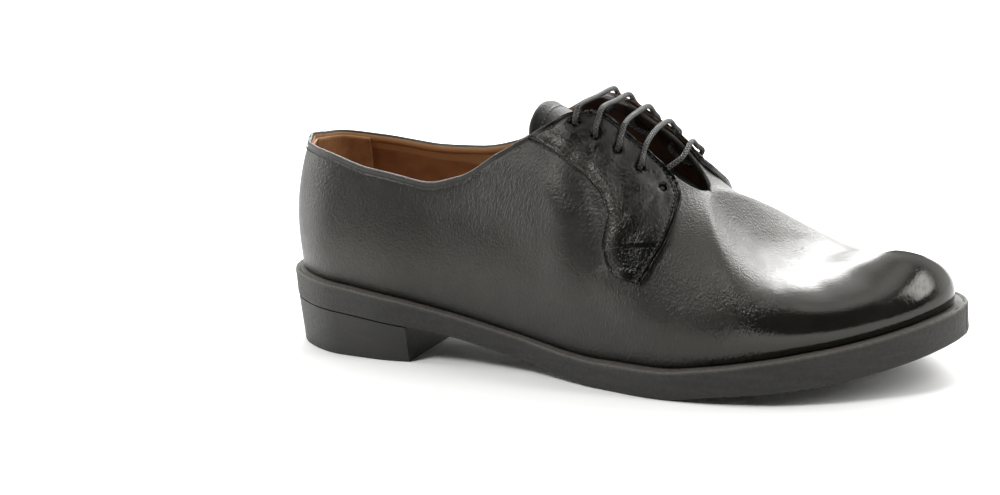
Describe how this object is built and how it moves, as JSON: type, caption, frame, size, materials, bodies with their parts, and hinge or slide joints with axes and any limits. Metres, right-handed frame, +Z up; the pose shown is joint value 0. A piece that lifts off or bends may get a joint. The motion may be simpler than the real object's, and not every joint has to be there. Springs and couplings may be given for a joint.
{
  "type": "derby shoe",
  "caption": "Lace-up leather derby shoe for the right foot, with a hollow whole-cut upper, open-throat facings, a tongue and a low heel.",
  "frame": {"origin": "on the floor, under the middle of the shoe's length and width", "axes": "+X towards the toe, +Y towards the inner side of the foot, +Z up"},
  "size_m": [0.2998, 0.1058, 0.1104],
  "materials": {
    "calf": "grained calf, satin, polished smooth at the toe",
    "tongue_calf": "grained calf, satin",
    "facing_calf": "smooth calf, waxed gloss",
    "sole_edge": "dyed leather edge, matte",
    "heel_stack": "dyed stacked leather, matte",
    "lining": "vegetable-tanned lining, soft sheen",
    "waxed_cord": "braided waxed cotton, matte"
  },
  "bodies": {
    "root": {"outsole": "sole_edge", "heel": "heel_stack", "upper": "calf", "tongue": "tongue_calf", "facing_lateral": "facing_calf", "facing_medial": "facing_calf", "insole": "lining", "lace": "waxed_cord"}
  },
  "joints": []
}
